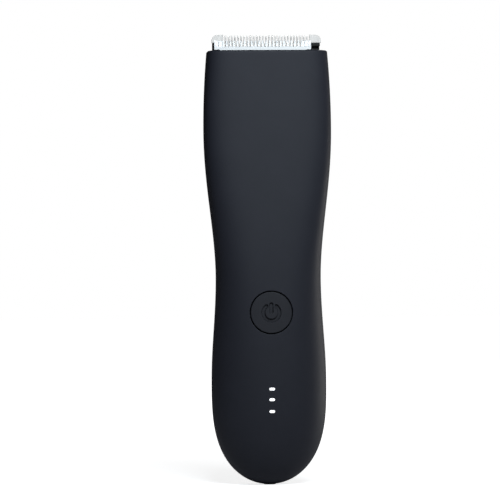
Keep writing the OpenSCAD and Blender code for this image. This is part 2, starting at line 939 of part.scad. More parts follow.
module cutter_blade() {
    centres = gap_centres(cutter_gaps, cutter_pitch);
    color([0.96, 0.96, 0.95])
        translate([rest_x, blade_y - blade_play, 0])
            difference() {
                cutter_prism(cutter_t)
                    difference() {
                        union() {
                            translate([-cutter_low_x, cutter_z0])
                                square([2 * cutter_low_x, cutter_bar_z - cutter_z0 + 1]);
                            translate([-cutter_w / 2, cutter_bar_z])
                                square([cutter_w, cutter_z - cutter_bar_z]);
                        }
                        for (i = [2 : cutter_gaps - 3])
                            tooth_gap(centres[i], cutter_root, cutter_z, cutter_gap);
                        for (sx = [-1, 1])
                            translate([sx * stud_x, stud_z])
                                circle(r = stud_hole_r);
                    }
                for (i = [0, 1, cutter_gaps - 2, cutter_gaps - 1])
                    translate([0, blind_gap - cutter_t, 0])
                        cutter_prism(1)
                            tooth_gap(centres[i], cutter_root, cutter_z, cutter_gap);
            }
}

// Plate behind the cutter: rear, half width, lower and upper edge
carrier_rear = blade_y - blade_play - cutter_t;
carrier_x = 12;
carrier_z0 = 145;
carrier_z1 = 153;
// Yoke that holds the drive slot: half width, lower and upper ends
yoke_x = slot_x + 1.6;
yoke_z0 = 136.2;
yoke_z1 = 143.4;

module cutter_carrier() {
    color([0.20, 0.21, 0.23])
        translate([rest_x, 0, 0])
            difference() {
                union() {
                    // Plate behind the cutter, the yoke's front wall and the yoke round the slot
                    box([-carrier_x, carrier_front, carrier_z0], [carrier_x, carrier_rear, carrier_z1]);
                    box([-yoke_x, carrier_front, yoke_z0], [yoke_x, carrier_rear, carrier_z0 + 1]);
                    box([-yoke_x, axis_y - slot_y - 1, yoke_z0], [yoke_x, axis_y + slot_y + 1, yoke_z1]);
                    // Studs that carry the cutter
                    for (sx = [-1, 1])
                        rod_y(stud_hole_r - play, carrier_rear - 1, blade_y - 0.2, sx * stud_x, stud_z);
                }
                box([-slot_x, axis_y - slot_y, yoke_z0 - 1], [slot_x, axis_y + slot_y, pin_z1 + 0.6]);
            }
}

// ---- Charging socket ----

// Socket: radius of its tube, and radius and ends of its body
tube_r = 2.2;
socket_body_r = 4.2;
socket_body_z0 = 3.5;
socket_body_z1 = 12.6;
// Radius of the middle contact, and place and radius of the side contact
contact_r = 0.7;
side_contact_x = 3;
side_contact_r = 0.5;

module charging_socket() {
    color([0.06, 0.06, 0.07])
        difference() {
            union() {
                cylinder(h = socket_body_z0 + 1, r = tube_r);
                translate([0, 0, socket_body_z0])
                    cylinder(h = socket_body_z1 - socket_body_z0, r = socket_body_r);
            }
            translate([0, 0, -1])
                cylinder(h = inlet_l + 1, r = inlet_r);
            translate([0, 0, inlet_l - 1])
                cylinder(h = 5, r = contact_r);
        }
}

module charging_contact() {
    color([0.80, 0.62, 0.30]) {
        translate([0, 0, inlet_l + 0.1])
            cylinder(h = 4, r = contact_r);
        translate([side_contact_x, 0, socket_body_z1])
            cylinder(h = 2.5, r = side_contact_r);
    }
}

module port_ring() {
    color([0.06, 0.06, 0.07])
        intersection() {
            difference() {
                translate([0, 0, -1])
                    cylinder(h = 1 + socket_body_z0 - play, r = port_r);
                translate([0, 0, -2])
                    cylinder(h = 8, r = tube_r);
            }
            outside(0.02);
        }
}

// ---- Wires ----

// Radius of a lead, and the direction no lead runs in
lead_r = 0.45;
lead_across = [1, 0, 0];

module charging_leads() {
    color([0.70, 0.10, 0.10])
        wire([
            [0, 0, 15.2], [0, 0, 15.9], [0, -3.2, 17], [-1.5, -7, 18.5],
            [-1.5, -7.2, 21], [-1.5, -6.4, 22.5], [-1.5, board_front - play, 22.5]
        ], lead_r, lead_across);
    color([0.10, 0.10, 0.10])
        wire([
            [side_contact_x, 0, 15.2], [side_contact_x, 0, 15.9], [side_contact_x, -3.2, 17],
            [side_contact_x, -7, 18.5], [side_contact_x, -7.2, 21], [side_contact_x, -6.4, 22.5],
            [side_contact_x, board_front - play, 22.5]
        ], lead_r, lead_across);
}

module motor_leads() {
    lead_z = motor_z0 - end_cap_h - terminal_h - 0.1;
    for (sx = [-1, 1])
        color(sx < 0 ? [0.70, 0.10, 0.10] : [0.10, 0.10, 0.10])
            wire([
                [sx * terminal_x, axis_y, lead_z], [sx * terminal_x, axis_y, lead_z - 0.7],
                [sx * 5, -1.5, 79.5],
                [sx * 4, -6.6, 76], [sx * 4, -7.2, 73], [sx * 4, -6.4, 71.5],
                [sx * 4, board_front - play, 71.5]
            ], lead_r, lead_across);
}

front_shell();
rear_shell();
shell_seal();
power_button();
button_seal();
switch_body();
switch_plunger();
circuit_board();
board_screws();
status_leds();
light_guide();
battery_cell();
battery_contacts();
chassis();
chassis_screws();
motor_can();
motor_end_cap();
motor_terminals();
motor_bearing();
motor_screws();
motor_shaft();
eccentric_drive();
drive_seal();
bulkhead();
head_seal();
head_clips();
head_housing();
comb_blade();
blade_screws();
tension_spring();
cutter_blade();
cutter_carrier();
charging_socket();
charging_contact();
port_ring();
charging_leads();
motor_leads();
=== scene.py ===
import json
import math

import bmesh
import bpy
import numpy as np
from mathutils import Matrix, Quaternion, Vector


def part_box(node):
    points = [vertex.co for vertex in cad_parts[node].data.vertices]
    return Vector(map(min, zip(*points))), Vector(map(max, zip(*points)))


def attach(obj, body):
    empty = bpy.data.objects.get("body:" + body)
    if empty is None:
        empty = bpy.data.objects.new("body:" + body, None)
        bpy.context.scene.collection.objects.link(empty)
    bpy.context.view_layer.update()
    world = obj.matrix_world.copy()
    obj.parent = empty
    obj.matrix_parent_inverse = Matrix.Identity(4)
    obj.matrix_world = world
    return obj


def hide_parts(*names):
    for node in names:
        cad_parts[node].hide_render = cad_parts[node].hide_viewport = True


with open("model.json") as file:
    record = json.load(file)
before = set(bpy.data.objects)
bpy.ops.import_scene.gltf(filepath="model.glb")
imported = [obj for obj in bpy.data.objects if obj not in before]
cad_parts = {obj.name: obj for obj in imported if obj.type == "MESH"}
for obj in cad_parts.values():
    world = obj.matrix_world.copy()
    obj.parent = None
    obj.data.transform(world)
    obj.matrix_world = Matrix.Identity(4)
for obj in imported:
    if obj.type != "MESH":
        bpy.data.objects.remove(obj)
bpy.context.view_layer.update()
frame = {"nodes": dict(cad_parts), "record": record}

MM = 0.001
AXIS = 0.001  # Least radius of a lathe's profile, so that its end faces close round the axis


def node_box(node):
    """Lowest and highest corner of a CAD node, in millimetres."""
    low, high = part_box(node)
    return low / MM, high / MM


# ---- Sizes, in millimetres ----

front_low, front_high = node_box("front_shell")
button_low, button_high = node_box("power_button")
comb_low, comb_high = node_box("comb_blade")
cutter_low, cutter_high = node_box("cutter_blade")
housing_low, housing_high = node_box("head_housing")
_, socket_high = node_box("charging_socket")

# The casing's outline and depth, as the CAD model sweeps it
BODY_H = front_high.z
BELLY_W = 41.0
BELLY_Z = 35.8
WAIST_W = 37.4
WAIST_Z = 74.4
SHOULDER_W = 2 * front_high.x
SHOULDER_Z = 126.5
TOP_W = 42.8
BELLY_D = -front_low.y
TOP_FRONT_D = 9.0
TOP_REAR_D = 8.0
END_POWER = 2.9
BELLY_SECTION = 2.25
TOP_SECTION = 4.6
WALL = 1.8
RIM_R = 0.6
SEAM = 0.2
CAVITY_TOP = 131.0

# The socket that the blade head slides out of, and the spring pockets in its sides
SOCKET_X = 19.1
SOCKET_DEPTH = {-1: 6.4, 1: 5.5}
SOCKET_CORNER = 2.5
SOCKET_FLARE = 0.3
POCKET_X = (19.0, 19.9)
POCKET_Y = 2.0
POCKET_Z = (137.8, 150.2)

# The button, its groove and the light windows
BUTTON_R = 7.3
BUTTON_GAP = 0.4
BUTTON_SINK = 0.04
FLANGE_FRONT = -10.2
FLANGE_REAR = -9.4
STEM_REAR = -8.6
STEM_R = 1.8
BUTTON_Z = (button_low.z + button_high.z) / 2
WINDOW_W = 2.05
WINDOW_H = 1.05
LIGHT_Z = (26.5, 30.7, 34.45)
BAR_X = 2.5
BAR_FRONT = -11.6
BAR_REAR = -10.6
BAR_REACH = 2.0

# The charging socket and its rubber ring
PORT_R = 3.4
TUBE_R = 2.2
INLET_R = 1.3
INLET_DEPTH = 11.0
INLET_BODY_R = 4.2
INLET_BODY_Z = 3.0
INLET_CONTACT_R = 0.7
RING_TOP = 2.95

# Screw posts inside the front shell
POST_X = 14.6
POST_Z = (28, 81)
POST_R = 2.0
POST_FACE = -1.5
POST_HOLE_R = 0.8
POST_HOLE_DEPTH = 5.0

# The blades
COMB_PITCH = 1.12
COMB_GAPS = 28
COMB_GAP = 0.52
COMB_ROOT = 157.4
CUTTER_PITCH = 1.285
CUTTER_GAPS = 26
CUTTER_GAP = 0.62
CUTTER_ROOT = 156.1
BLIND_DEPTH = 0.9
TIP_R = 0.2
BLADE_EDGE = 0.06
CORNER_R = 2.2
CUTTER_CORNER_R = 0.4
CUTTER_BAR_Z = 155.15
CUTTER_LOW_X = 15.4
STUD_X = 8.0
STUD_Z = 150.5
STUD_HOLE_R = 1.2
SCREW_R = 1.0
SCREW_HEAD_R = 1.9
SCREW_HEAD_Y = 3.2

# The housing of the blade head
BLOCK_Z = housing_high.z
BLOCK_X = 16.0
HEAD_TOP = BODY_H - 0.15
HEAD_X = 18.9
HEAD_CORNER = 2.3
HOLLOW_X = 17.2
HOLLOW_Y = (-5.0, 4.1)
HOLLOW_TOP = 146.0
BLOCK_Y = (0.83, 3.6)
BLOCK_LOW = 150.0
CAP_LOW = BODY_H + 0.15
SEAT_Y = (0.8, 1.92)
NOTCH_X = (15.9, 19.5)
NOTCH_Y = (0.5, 3.0)
NOTCH_TOP = 156.5
SCREW_X = 12.0
SCREW_Z = 149.5


# ---- The casing's shape ----

def ease(t):
    return 0.5 - 0.5 * math.cos(math.pi * t)


def ramp(z, z0, z1, a, b):
    return a + (b - a) * ease((z - z0) / (z1 - z0))


def end_curve(z, inset):
    """How far the rounded lower end has shrunk at height z: 1 at the belly, 0 at the tip."""
    return math.sqrt(max(0.0, 1 - ((BELLY_Z - z) / (BELLY_Z - inset)) ** END_POWER))


def half_width(z, inset=0.0):
    if z < BELLY_Z:
        return (BELLY_W / 2 - inset) * end_curve(z, inset)
    if z < WAIST_Z:
        return ramp(z, BELLY_Z, WAIST_Z, BELLY_W, WAIST_W) / 2 - inset
    if z < SHOULDER_Z:
        early = ((z - WAIST_Z) / (SHOULDER_Z - WAIST_Z)) ** 0.92
        return (WAIST_W + (SHOULDER_W - WAIST_W) * ease(early)) / 2 - inset
    fall = ((z - SHOULDER_Z) / (BODY_H - SHOULDER_Z)) ** 2
    return (SHOULDER_W - (SHOULDER_W - TOP_W) * fall) / 2 - inset


def half_depth(z, side, inset=0.0):
    if z < BELLY_Z:
        return (BELLY_D - inset) * end_curve(z, inset)
    return ramp(z, BELLY_Z, BODY_H, BELLY_D, TOP_FRONT_D if side < 0 else TOP_REAR_D) - inset


def section_power(z):
    return BELLY_SECTION if z < BELLY_Z else ramp(z, BELLY_Z, BODY_H, BELLY_SECTION, TOP_SECTION)


def front_y(x, z):
    """Y of the casing's front surface."""
    n = section_power(z)
    across = min(1.0, abs(x) / half_width(z))
    return -half_depth(z, -1) * (1 - across ** n) ** (1 / n)


# ---- Mesh tools ----

def mesh_object(name, verts, faces, smooth=True):
    """Mesh object from corners in millimetres."""
    mesh = bpy.data.meshes.new(name)
    mesh.from_pydata([tuple(c * MM for c in v) for v in verts], [], faces)
    mesh.validate()
    mesh.update()
    obj = bpy.data.objects.new(name, mesh)
    bpy.context.scene.collection.objects.link(obj)
    tidy_mesh(obj, smooth)
    return obj


def tidy_mesh(obj, smooth=True):
    """Merges doubled corners and turns every face outwards."""
    bm = bmesh.new()
    bm.from_mesh(obj.data)
    bmesh.ops.remove_doubles(bm, verts=bm.verts, dist=1e-7)
    bmesh.ops.recalc_face_normals(bm, faces=bm.faces)
    for face in bm.faces:
        face.smooth = smooth
    bm.to_mesh(obj.data)
    bm.free()


def apply_modifiers(obj):
    graph = bpy.context.evaluated_depsgraph_get()
    made = bpy.data.meshes.new_from_object(obj.evaluated_get(graph))
    old = obj.data
    obj.modifiers.clear()
    obj.data = made
    bpy.data.meshes.remove(old)


def boolean(obj, tool, operation="DIFFERENCE"):
    """Cuts a tool out of an object, or joins it on, and throws the tool away."""
    mod = obj.modifiers.new("cut", "BOOLEAN")
    mod.operation = operation
    mod.solver = "MANIFOLD"
    mod.object = tool
    apply_modifiers(obj)
    bpy.data.objects.remove(tool, do_unlink=True)


def bevel(obj, width, segments=2, angle=35):
    mod = obj.modifiers.new("bevel", "BEVEL")
    mod.width = width * MM
    mod.segments = segments
    mod.limit_method = "ANGLE"
    mod.angle_limit = math.radians(angle)
    mod.use_clamp_overlap = True
    mod.harden_normals = False
    apply_modifiers(obj)


def smooth_by_angle(obj, angle=32):
    """Smooth shading that keeps corners sharper than the angle."""
    mesh = obj.data
    mesh.shade_smooth()
    mesh.set_sharp_from_angle(angle=math.radians(angle))


def box_object(name, low, high):
    x0, y0, z0 = low
    x1, y1, z1 = high
    verts = [(x, y, z) for x in (x0, x1) for y in (y0, y1) for z in (z0, z1)]
    faces = [(0, 1, 3, 2), (4, 6, 7, 5), (0, 4, 5, 1), (2, 3, 7, 6), (0, 2, 6, 4), (1, 5, 7, 3)]
    return mesh_object(name, verts, faces, smooth=False)


def lathe(name, profile, centre=(0, 0, 0), axis="Z", steps=96):
    """Solid of revolution. The profile is a closed list of (radius, height along the axis)."""
    verts = []
    for k in range(steps):
        a = 2 * math.pi * k / steps
        for r, h in profile:
            u, v = r * math.cos(a), r * math.sin(a)
            at = (u, v, h) if axis == "Z" else (u, h, v)
            verts.append(tuple(p + q for p, q in zip(centre, at)))
    n = len(profile)
    faces = [
        (k * n + i, k * n + (i + 1) % n, (k + 1) % steps * n + (i + 1) % n, (k + 1) % steps * n + i)
        for k in range(steps)
        for i in range(n)
    ]
    return mesh_object(name, verts, faces)


def pin(name, r, low, high, centre=(0, 0, 0), axis="Z", steps=96):
    """Plain round bar between two heights along the axis, as a cutting tool."""
    return lathe(name, [(AXIS, low), (r, low), (r, high), (AXIS, high)], centre, axis, steps)


def loft(name, rings, smooth=True):
    """Closed solid through rings of equal length."""
    n = len(rings[0])
    verts = [p for ring in rings for p in ring]
    faces = [
        (k * n + i, k * n + (i + 1) % n, (k + 1) * n + (i + 1) % n, (k + 1) * n + i)
        for k in range(len(rings) - 1)
        for i in range(n)
    ]
    faces.append(tuple(range(n)))
    faces.append(tuple((len(rings) - 1) * n + i for i in range(n)))
    return mesh_object(name, verts, faces, smooth)


def arc(centre, radius, start, end, steps):
    """Points on an arc in a plane, with angles in degrees."""
    angles = [math.radians(start + (end - start) * i / steps) for i in range(steps + 1)]
    return [(centre[0] + radius * math.cos(a), centre[1] + radius * math.sin(a)) for a in angles]


def rounded_outline(half_x, y0, y1, r, steps=8):
    """Rectangle with round corners, in plan."""
    return (
        arc((half_x - r, y1 - r), r, 0, 90, steps)
        + arc((-half_x + r, y1 - r), r, 90, 180, steps)
        + arc((-half_x + r, y0 + r), r, 180, 270, steps)
        + arc((half_x - r, y0 + r), r, 270, 360, steps)
    )


def prism(name, outline, z0, z1):
    return loft(name, [[(x, y, z) for x, y in outline] for z in (z0, z1)], smooth=False)


# ---- The shells ----

SHELL_COLUMNS = 132
END_ROWS = 56
SIDE_ROWS = 150
SOCKET_ROWS = 28
RIM_ROWS = 8
FIRST_ROW = 3.2
LIP_R = 0.22
GROOVE_EDGE = 0.16
WINDOW_EDGE = 0.07
TOOL_FRONT = -20.0
TOOL_REAR = -8.0


def section_columns(z, side, inset, start):
    """Half a section, from the +X side round to -X, that starts at a distance from the middle plane."""
    n = section_power(z)
    w = half_width(z, inset)
    d = half_depth(z, side, inset)
    first = math.asin(min(0.98, (start / d) ** (n / 2)))
    points = []
    for i in range(SHELL_COLUMNS + 1):
        a = first + (math.pi - 2 * first) * i / SHELL_COLUMNS
        x = w * math.copysign(abs(math.cos(a)) ** (2 / n), math.cos(a))
        points.append((x, side * d * math.sin(a) ** (2 / n)))
    return points


def outer_columns(z, side, inset):
    """Outer half section whose two edges roll over into the parting plane."""
    points = section_columns(z, side, inset, SEAM + LIP_R)
    edge = points[0][0] - LIP_R
    lip = [
        (edge + LIP_R * math.cos(a), side * (SEAM + LIP_R - LIP_R * math.sin(a)))
        for a in (math.pi / 2, math.pi / 3, math.pi / 6)
    ]
    return lip + points + [(-x, y) for x, y in reversed(lip)]


def socket_columns(side, outer, inset):
    """Half of the head socket's outline, one point on the ray to each point of the outer section."""
    half_x = SOCKET_X + inset
    deep = SOCKET_DEPTH[side] + inset
    r = SOCKET_CORNER + inset
    points = []
    for i, (x, y) in enumerate(outer):
        if i in (0, len(outer) - 1):
            points.append((math.copysign(half_x, x), side * SEAM))
            continue
        low, high = 0.0, 1.2
        for _ in range(30):
            t = (low + high) / 2
            qx = max(abs(x) * t - half_x + r, 0)
            qy = max(abs(y) * t - deep + r, 0)
            inside = math.hypot(qx, qy) < r and abs(x) * t < half_x and abs(y) * t < deep
            low, high = (t, high) if inside else (low, t)
        points.append((x * low, y * low))
    return points


def shell_rows():
    """Rows from tip to top edge: outer height, outer inset, inner height, space within and its flare."""
    rows = []
    for k in range(END_ROWS):
        a = math.radians(FIRST_ROW + (90 - FIRST_ROW) * k / END_ROWS)
        outer_z = BELLY_Z - BELLY_Z * math.cos(a)
        inner_z = BELLY_Z - (BELLY_Z - WALL) * math.cos(a)
        rows.append((outer_z, 0.0, inner_z, "cavity", 0.0))
    for k in range(SIDE_ROWS):
        z = BELLY_Z + (CAVITY_TOP - BELLY_Z) * k / (SIDE_ROWS - 1)
        rows.append((z, 0.0, z, "cavity", 0.0))
    low, top = CAVITY_TOP + 0.2, BODY_H - RIM_R
    for k in range(SOCKET_ROWS):
        z = low + (top - low) * k / (SOCKET_ROWS - 1)
        rows.append((z, 0.0, CAVITY_TOP if k == 0 else z, "socket", 0.0))
    for k in range(1, RIM_ROWS + 1):
        a = math.pi / 2 * k / RIM_ROWS
        z = top + RIM_R * math.sin(a)
        flare = SOCKET_FLARE * (1 - math.cos(max(0.0, 2 * a - math.pi / 2)))
        rows.append((z, RIM_R * (1 - math.cos(a)), z, "socket", flare))
    return rows


def half_shell(name, side):
    """Front half of the casing for side -1, rear half for side 1."""
    rings = []
    for outer_z, inset, inner_z, space, flare in shell_rows():
        outer = outer_columns(outer_z, side, inset)
        if space == "cavity":
            points = section_columns(inner_z, side, WALL, SEAM)
            pad = (len(outer) - len(points)) // 2
            inner = [points[0]] * pad + points + [points[-1]] * pad
        else:
            inner = socket_columns(side, outer, flare)
        rings.append([(x, y, outer_z) for x, y in outer] + [(x, y, inner_z) for x, y in reversed(inner)])
    verts = [point for ring in rings for point in ring]
    faces = []
    n = len(rings[0])
    half = n // 2
    for k in range(len(rings) - 1):
        for i in range(n):
            a, b = k * n + i, k * n + (i + 1) % n
            faces.append((a, b, b + n, a + n))
    faces.append(tuple(range(half)))
    faces.append(tuple(range(half, n)))
    faces.append((0, half - 1, half, n - 1))
    last = (len(rings) - 1) * n
    for i in range(half - 1):
        faces.append((last + i, last + i + 1, last + n - 2 - i, last + n - 1 - i))
    return mesh_object(name, verts, faces)


def follow_front(name, outline, r):
    """Cutting tool that goes in from the front, with its mouth rolled over along the surface.

    outline(off) gives the hole's outline in X and Z, grown by off."""
    rings = [[(x, TOOL_REAR, z) for x, z in outline(0.0)]]
    for k in range(7):
        a = math.pi / 2 * k / 6
        off = r * (1 - math.cos(a))
        rise = r * (math.sin(a) - 1)
        rings.append([(x, front_y(x, z) - rise, z) for x, z in outline(off)])
    rings.append([(x, front_y(x, z) - 0.05, z) for x, z in outline(r + 0.01)])
    rings.append([(x, TOOL_FRONT, z) for x, z in outline(r + 0.02)])
    return loft(name, rings)


def circle_outline(radius, z, steps=160):
    def outline(off):
        return [
            ((radius + off) * math.cos(a), z + (radius + off) * math.sin(a))
            for a in (2 * math.pi * i / steps for i in range(steps))
        ]
    return outline


def pill_outline(width, height, z, steps=16):
    def outline(off):
        r = height / 2 + off
        run = (width - height) / 2
        right = arc((run, z), r, -90, 90, steps)
        left = arc((-run, z), r, 90, 270, steps)
        return right + left
    return outline


def make_front_shell():
    shell = half_shell("front_cover", -1)
    groove = circle_outline(BUTTON_R + BUTTON_GAP, BUTTON_Z)
    boolean(shell, follow_front("groove_tool", groove, GROOVE_EDGE))
    for z in LIGHT_Z:
        boolean(shell, follow_front("window_tool", pill_outline(WINDOW_W, WINDOW_H, z), WINDOW_EDGE))
    return shell


def add_posts(shell):
    """Screw posts on the inside of the front shell."""
    for x in (-POST_X, POST_X):
        for z in POST_Z:
            deep = front_y(abs(x) + POST_R * 0.5, z) + 0.9
            floor = POST_FACE - POST_HOLE_DEPTH
            profile = [(POST_HOLE_R, POST_FACE), (POST_R - 0.1, POST_FACE), (POST_R, POST_FACE - 0.1)]
            profile += [(POST_R, deep), (AXIS, deep), (AXIS, floor), (POST_HOLE_R, floor)]
            boolean(shell, lathe("post", profile, (x, 0, z), "Y", 32), "UNION")


def make_shells():
    shells = [make_front_shell(), half_shell("rear_cover", 1)]
    add_posts(shells[0])
    for shell in shells:
        boolean(shell, pin("port_tool", PORT_R, -1.0, 4.0))
        for sx in (-1, 1):
            x0, x1 = sorted((sx * POCKET_X[0], sx * POCKET_X[1]))
            low, high = (x0, -POCKET_Y, POCKET_Z[0]), (x1, POCKET_Y, POCKET_Z[1])
            boolean(shell, box_object("pocket_tool", low, high))
        smooth_by_angle(shell)
    return shells


# ---- The button ----

SYMBOL_OUTER = 3.42
SYMBOL_INNER = 2.28
SYMBOL_GAP = 38.0
STEM_LOW = -0.3
STEM_HIGH = 3.5
STEM_HALF = 0.58
SYMBOL_DEPTH = 0.75
SYMBOL_WALL = 0.24


def arc_distance(x, z):
    """Signed distance to the open ring of the power symbol, below zero inside it."""
    mid = (SYMBOL_OUTER + SYMBOL_INNER) / 2
    half = (SYMBOL_OUTER - SYMBOL_INNER) / 2
    angle = math.degrees(math.atan2(abs(x), z))
    if angle > SYMBOL_GAP:
        return abs(math.hypot(x, z) - mid) - half
    end = math.radians(SYMBOL_GAP)
    return math.hypot(abs(x) - mid * math.sin(end), z - mid * math.cos(end)) - half


def stem_distance(x, z):
    low, high = STEM_LOW + STEM_HALF, STEM_HIGH - STEM_HALF
    return math.hypot(x, z - min(max(z, low), high)) - STEM_HALF


def symbol_sink(x, z):
    """Depth of the sunk power symbol at a point of the button."""
    d = min(arc_distance(x, z), stem_distance(x, z))
    t = min(1.0, max(0.0, 0.5 - d / SYMBOL_WALL))
    return SYMBOL_DEPTH * t * t * (3 - 2 * t)


def make_button():
    """Button cap whose face follows the casing, with the sunk symbol, its flange and its stem."""
    steps = 360
    edge_r = 0.22
    # Rings stand closest across the arc of the symbol
    radii = [0.08 * k for k in range(1, 26)] + [2 + 0.05 * k for k in range(1, 41)]
    radii += [4 + 0.2 * k for k in range(1, 15)] + [6.95]
    verts = [(0.0, front_y(0, BUTTON_Z) + BUTTON_SINK + symbol_sink(0, 0), BUTTON_Z)]
    rings = []
    for r in radii:
        angles = [2 * math.pi * i / steps for i in range(steps)]
        rings.append([(r, symbol_sink(r * math.sin(a), r * math.cos(a))) for a in angles])
    for k in range(7):
        a = math.pi / 2 * k / 6
        rings.append([(BUTTON_R - edge_r + edge_r * math.sin(a), edge_r * (1 - math.cos(a)))] * steps)
    for ring in rings:
        for i, (r, sink) in enumerate(ring):
            a = 2 * math.pi * i / steps
            x, z = r * math.sin(a), BUTTON_Z + r * math.cos(a)
            verts.append((x, front_y(x, z) + BUTTON_SINK + sink, z))
    flange_r = BUTTON_R + 1
    behind = [(BUTTON_R, FLANGE_FRONT), (flange_r, FLANGE_FRONT), (flange_r, FLANGE_REAR)]
    behind += [(STEM_R, FLANGE_REAR), (STEM_R, STEM_REAR)]
    for r, y in behind:
        for i in range(steps):
            a = 2 * math.pi * i / steps
            verts.append((r * math.sin(a), y, BUTTON_Z + r * math.cos(a)))
    count = len(rings) + len(behind)
    faces = [(0, 1 + i, 1 + (i + 1) % steps) for i in range(steps)]
    for k in range(count - 1):
        for i in range(steps):
            a, b = 1 + k * steps + i, 1 + k * steps + (i + 1) % steps
            faces.append((a, b, b + steps, a + steps))
    faces.append(tuple(1 + (count - 1) * steps + i for i in range(steps)))
    button = mesh_object("button_cap", verts, faces)
    smooth_by_angle(button, 40)
    return button


def make_light_guide():
    """Three window pills on one bar, as the CAD moulding has them."""
    low = (-BAR_X, BAR_FRONT, LIGHT_Z[0] - BAR_REACH)
    high = (BAR_X, BAR_REAR, LIGHT_Z[2] + BAR_REACH)
    guide = box_object("light_windows", low, high)
    bevel(guide, 0.2)
    play, edge_r = 0.02, 0.12
    for z in LIGHT_Z:
        outline = pill_outline(WINDOW_W, WINDOW_H, z)
        rings = [[(x, BAR_FRONT + 0.4, zz) for x, zz in outline(-play)]]
        for k in range(6):
            a = math.pi / 2 * k / 5
            off = -play - edge_r * (1 - math.cos(a))
            sink = 0.05 + edge_r * (1 - math.sin(a))
            rings.append([(x, front_y(x, zz) + sink, zz) for x, zz in outline(off)])
        boolean(guide, loft("window_pill", rings), "UNION")
    smooth_by_angle(guide, 40)
    return guide


# ---- The blades ----

def gap_centres(count, pitch):
    return [(i - (count - 1) / 2) * pitch for i in range(count)]


def gap_half(z, width, tip):
    """Half width of a gap between two teeth, which widens towards the tips."""
    return width / 2 + max(0.0, z - tip + 1) * 0.125 * width


def tooth_ring(x, z, half, y0, y1, c):
    """Section of a tooth: a rectangle with cut corners."""
    return [
        (x - half + c, y0, z), (x + half - c, y0, z), (x + half, y0 + c, z), (x + half, y1 - c, z),
        (x + half - c, y1, z), (x - half + c, y1, z), (x - half, y1 - c, z), (x - half, y0 + c, z),
    ]


def make_teeth(name, centres, pitch, gap, root, top, tip, front, rear):
    """One mesh with all the fine teeth. front and rear give the faces' Y at a height."""
    verts, faces = [], []
    r = TIP_R
    levels = [(root, 0.0)] + [(root + (top - r - root) * k / 8, 0.0) for k in range(2, 9)]
    levels += [(top - r + r * math.sin(a), r * (1 - math.cos(a))) for a in (0.5, 0.9, 1.25, 1.5)]
    for left, right in zip(centres, centres[1:]):
        x = (left + right) / 2
        start = len(verts)
        for z, round_off in levels:
            half = pitch / 2 - gap_half(z, gap, tip)
            half = max(0.05, half - round_off * 0.6)
            y0 = front(z) + round_off * 0.5
            y1 = max(y0 + 0.15, rear(z) - round_off * 0.5)
            verts.extend(tooth_ring(x, z, half, y0, y1, min(0.13, half * 0.45)))
        for k in range(len(levels) - 1):
            for i in range(8):
                a, b = start + k * 8 + i, start + k * 8 + (i + 1) % 8
                faces.append((a, b, b + 8, a + 8))
        faces.append(tuple(range(start, start + 8)))
        faces.append(tuple(range(start + (len(levels) - 1) * 8, start + len(levels) * 8)))
    return mesh_object(name, verts, faces)


def notches(centres, gap, root, off):
    """Upper edge of a plate below its teeth: round notches with flats between them."""
    points = []
    for x in centres:
        points += arc((x, root + gap / 2), gap / 2 + off, 180, 360, 14)
    return points


def chamfered_plate(name, outline, y0, y1, c, shift=0.0):
    """Plate between two planes with its edges cut off. outline(off) gives its outline in X and Z."""
    rings = []
    for y, off in ((y0, c), (y0 + c, 0.0), (y1 - c, 0.0), (y1, c)):
        rings.append([(x + shift, y, z) for x, z in outline(off)])
    return loft(name, rings)


def wedge(name, y, z, slope, side, reach=30.0):
    """Tool that thins a row of teeth from height z up, on the side of its y that side names."""
    far = z + 8.0
    lean = side * (far - z) * math.tan(math.radians(slope))
    rows = [(y, z), (y + side * 3, z), (y + side * 3, far), (y - lean, far)]
    return loft(name, [[(x, yy, zz) for yy, zz in rows] for x in (-reach, reach)], smooth=False)


COMB_SLOPE = 8.0
COMB_THIN = 156.4
CUTTER_SLOPE = 18.0
CUTTER_THIN = 156.5


def comb_outline(off):
    low, high = comb_low, comb_high
    centres = gap_centres(COMB_GAPS, COMB_PITCH)
    half = BLOCK_X - 0.05 - off
    step = BLOCK_Z + 0.05 + off
    middle = (high.x - CORNER_R, high.z - CORNER_R)
    inner = -centres[0] + COMB_GAP / 2 + off
    right = [(inner, COMB_ROOT + COMB_GAP / 2), (inner, high.z - 1), (inner + 0.1, high.z - off)]
    right += arc(middle, CORNER_R - off, 90, 0, 12)
    right += [(high.x - off, step), (half, step), (half, low.z + off)]
    left = [(-x, z) for x, z in reversed(right)]
    return left + notches(centres, COMB_GAP, COMB_ROOT, off) + right


def make_comb():
    low, high = comb_low, comb_high
    comb = chamfered_plate("comb", comb_outline, low.y, high.y, BLADE_EDGE)
    top = high.z - 0.2

    def rear(z):
        return high.y - 0.01 - max(0.0, z - COMB_THIN) * math.tan(math.radians(COMB_SLOPE))

    teeth = make_teeth("comb_teeth", gap_centres(COMB_GAPS, COMB_PITCH), COMB_PITCH, COMB_GAP,
                       COMB_ROOT - 0.4, top, high.z, lambda z: low.y + 0.01, rear)
    boolean(comb, teeth, "UNION")
    boolean(comb, wedge("comb_tool", high.y, COMB_THIN, COMB_SLOPE, 1))
    for x in (-SCREW_X, SCREW_X):
        boolean(comb, pin("hole_tool", SCREW_R, 0, 4, (x, 0, SCREW_Z), "Y", 32))
    smooth_by_angle(comb, 30)
    return comb


